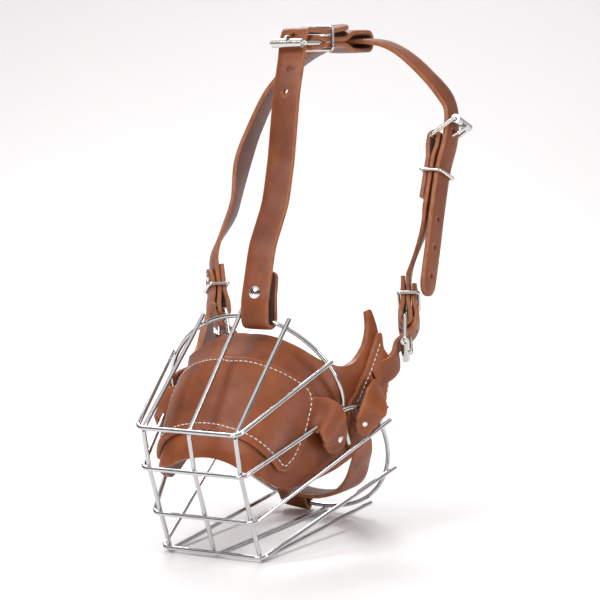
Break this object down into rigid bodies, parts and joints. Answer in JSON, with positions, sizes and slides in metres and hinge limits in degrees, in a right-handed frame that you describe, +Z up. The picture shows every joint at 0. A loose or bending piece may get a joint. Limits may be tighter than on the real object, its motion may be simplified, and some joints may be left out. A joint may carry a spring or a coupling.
{
  "type": "basket muzzle",
  "caption": "Chromed wire basket muzzle with a leather nose saddle, cheek wings and a buckled leather head harness standing up behind it.",
  "frame": {"origin": "on the resting plane, below the middle of the bottom rim wire at the nose end", "axes": "+Z up, the nose end toward -Y, the dog's left toward +X"},
  "size_m": [0.195, 0.2306, 0.3432],
  "materials": {
    "basket_wire": "mirror-bright chrome plating on round steel wire",
    "buckle_nickel": "bright nickel plating",
    "rivet_nickel": "polished domed caps",
    "saddle_leather": "tan harness leather, smooth, white stitching",
    "strap_leather": "tan strap leather with burnished lighter edges"
  },
  "bodies": {
    "basket": {"nose_rim_wire": "basket_wire", "upper_side_wire": "basket_wire", "lower_side_wire": "basket_wire", "bottom_rim_wire": "basket_wire", "top_wire_middle": "basket_wire", "top_wire_left": "basket_wire", "top_wire_right": "basket_wire", "upper_hoop": "basket_wire", "lower_hoop": "basket_wire", "saddle_lining": "saddle_leather", "nose_patch": "saddle_leather", "cheek_wing_left": "saddle_leather", "cheek_wing_right": "saddle_leather", "cheek_billet_right": "strap_leather", "cheek_billet_left": "strap_leather", "throat_strap": "saddle_leather", "chin_loop": "strap_leather", "saddle_ear_left": "saddle_leather", "wing_loop_left": "saddle_leather", "saddle_ear_right": "saddle_leather", "wing_loop_right": "saddle_leather", "saddle_rivets": "rivet_nickel"},
    "head_loop": {"neck_strap_long": "strap_leather", "neck_strap_short": "strap_leather", "neck_buckle_frame": "buckle_nickel", "neck_rivets": "rivet_nickel", "cheek_buckle_left_frame": "buckle_nickel", "cheek_tail_left": "strap_leather", "cheek_rivet_left": "rivet_nickel", "cheek_buckle_right_frame": "buckle_nickel", "cheek_tail_right": "strap_leather", "cheek_rivet_right": "rivet_nickel"},
    "centre_strap": {"centre_strap": "strap_leather", "centre_strap_rivet": "rivet_nickel"},
    "top_connector": {"top_connector": "strap_leather", "connector_rivet": "rivet_nickel", "centre_strap_tail": "strap_leather", "top_buckle_frame": "buckle_nickel"},
    "cheek_buckle_left_roller": {"cheek_buckle_left_roller": "buckle_nickel"},
    "cheek_buckle_left_prong": {"cheek_buckle_left_prong": "buckle_nickel"},
    "cheek_buckle_right_roller": {"cheek_buckle_right_roller": "buckle_nickel"},
    "cheek_buckle_right_prong": {"cheek_buckle_right_prong": "buckle_nickel"},
    "neck_buckle_roller": {"neck_buckle_roller": "buckle_nickel"},
    "neck_buckle_prong": {"neck_buckle_prong": "buckle_nickel"},
    "top_buckle_roller": {"top_buckle_roller": "buckle_nickel"},
    "top_buckle_prong": {"top_buckle_prong": "buckle_nickel"},
    "cheek_keeper_left": {"cheek_keeper_left": "buckle_nickel"},
    "cheek_keeper_right": {"cheek_keeper_right": "buckle_nickel"},
    "neck_keeper": {"neck_keeper": "buckle_nickel"},
    "top_keeper": {"top_keeper": "buckle_nickel"}
  },
  "joints": [
    {"name": "head_loop_swing", "type": "hinge", "parent": "basket", "child": "head_loop", "pos_m": [0, 0.138, 0.133], "axis": [1, 0, 0], "range_deg": [-6, 6]},
    {"name": "centre_strap_swing", "type": "hinge", "parent": "basket", "child": "centre_strap", "pos_m": [0.012, 0.0461, 0.1523], "axis": [1, 0, 0], "range_deg": [-6.6, 6.6]},
    {"name": "top_connector_swing", "type": "hinge", "parent": "centre_strap", "child": "top_connector", "pos_m": [0.012, 0.0993, 0.3345], "axis": [1, 0, 0], "range_deg": [-7.67, 7.67]},
    {"name": "cheek_buckle_left_roller_turn", "type": "hinge", "parent": "head_loop", "child": "cheek_buckle_left_roller", "pos_m": [0.07736, 0.12895, 0.12304], "axis": [-0.3237, 0.6943, -0.6428], "continuous": true},
    {"name": "cheek_buckle_left_prong_lift", "type": "hinge", "parent": "head_loop", "child": "cheek_buckle_left_prong", "pos_m": [0.07193, 0.1406, 0.13836], "axis": [-0.3237, 0.6943, -0.6428], "range_deg": [-4, 0]},
    {"name": "cheek_buckle_right_roller_turn", "type": "hinge", "parent": "head_loop", "child": "cheek_buckle_right_roller", "pos_m": [-0.07108, 0.13703, 0.12095], "axis": [0.6556, -0.6556, 0.3746], "continuous": true},
    {"name": "cheek_buckle_right_prong_lift", "type": "hinge", "parent": "head_loop", "child": "cheek_buckle_right_prong", "pos_m": [-0.07638, 0.14233, 0.13949], "axis": [0.6556, -0.6556, 0.3746], "range_deg": [-4, 0]},
    {"name": "neck_buckle_roller_turn", "type": "hinge", "parent": "head_loop", "child": "neck_buckle_roller", "pos_m": [0.09358, 0.18777, 0.2738], "axis": [0, -0.9404, 0.3401], "continuous": true},
    {"name": "neck_buckle_prong_lift", "type": "hinge", "parent": "head_loop", "child": "neck_buckle_prong", "pos_m": [0.078, 0.1835, 0.262], "axis": [0, -0.9404, 0.3401], "range_deg": [-4, 0]},
    {"name": "top_buckle_roller_turn", "type": "hinge", "parent": "top_connector", "child": "top_buckle_roller", "pos_m": [0.012, 0.091, 0.331], "axis": [1, 0, 0], "continuous": true},
    {"name": "top_buckle_prong_lift", "type": "hinge", "parent": "top_connector", "child": "top_buckle_prong", "pos_m": [0.012, 0.111, 0.331], "axis": [1, 0, 0], "range_deg": [-4, 0]},
    {"name": "cheek_keeper_left_slide", "type": "slide", "parent": "head_loop", "child": "cheek_keeper_left", "axis": [-0.2717, 0.5826, 0.766], "range_m": [-0.002, 0.002]},
    {"name": "cheek_keeper_right_slide", "type": "slide", "parent": "head_loop", "child": "cheek_keeper_right", "axis": [-0.2649, 0.2649, 0.9272], "range_m": [-0.002, 0.002]},
    {"name": "neck_keeper_slide", "type": "slide", "parent": "head_loop", "child": "neck_keeper", "axis": [-0.02, -0.3401, -0.9402], "range_m": [-0.002, 0.002]},
    {"name": "top_keeper_slide", "type": "slide", "parent": "top_connector", "child": "top_keeper", "axis": [0, 1, 0], "range_m": [-0.002, 0.002]}
  ],
  "couplings": [
    {"joint": "centre_strap_swing", "follows": "head_loop_swing", "ratio": 1.083},
    {"joint": "top_connector_swing", "follows": "head_loop_swing", "ratio": -1.2613}
  ]
}
